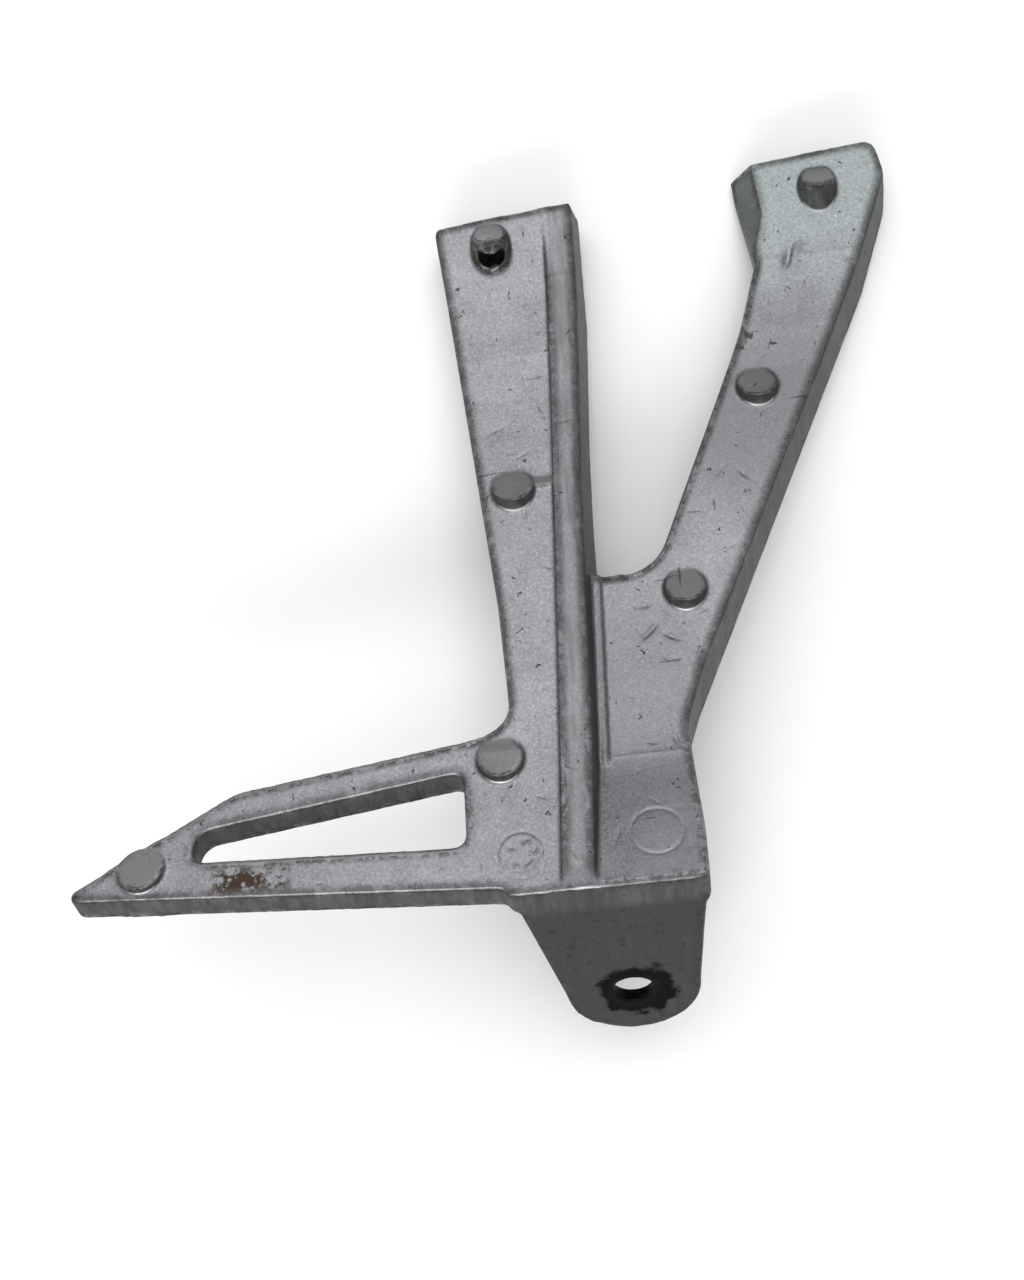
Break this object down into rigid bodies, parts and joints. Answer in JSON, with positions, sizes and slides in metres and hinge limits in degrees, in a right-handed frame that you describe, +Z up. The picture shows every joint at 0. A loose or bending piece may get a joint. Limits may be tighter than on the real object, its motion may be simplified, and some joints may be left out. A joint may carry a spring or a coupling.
{
  "type": "footrest hanger",
  "caption": "Cast alloy footrest hanger of a motorcycle: bent arms in a V, a drafted fork with a pivot bore, a wing with a long window, an edge rib and flat ejector bosses",
  "frame": {"origin": "on the floor under the middle of the part, which lies on its outer side", "axes": "+Z up, from the outer side towards the inner side of the motorcycle; +Y from the fork towards the heads; +X towards the right arm as seen on the inner side"},
  "size_m": [0.1919, 0.2, 0.057],
  "materials": {
    "alloy": "satin as cast, scuffed"
  },
  "bodies": {
    "root": {"hanger": "alloy"}
  },
  "joints": []
}
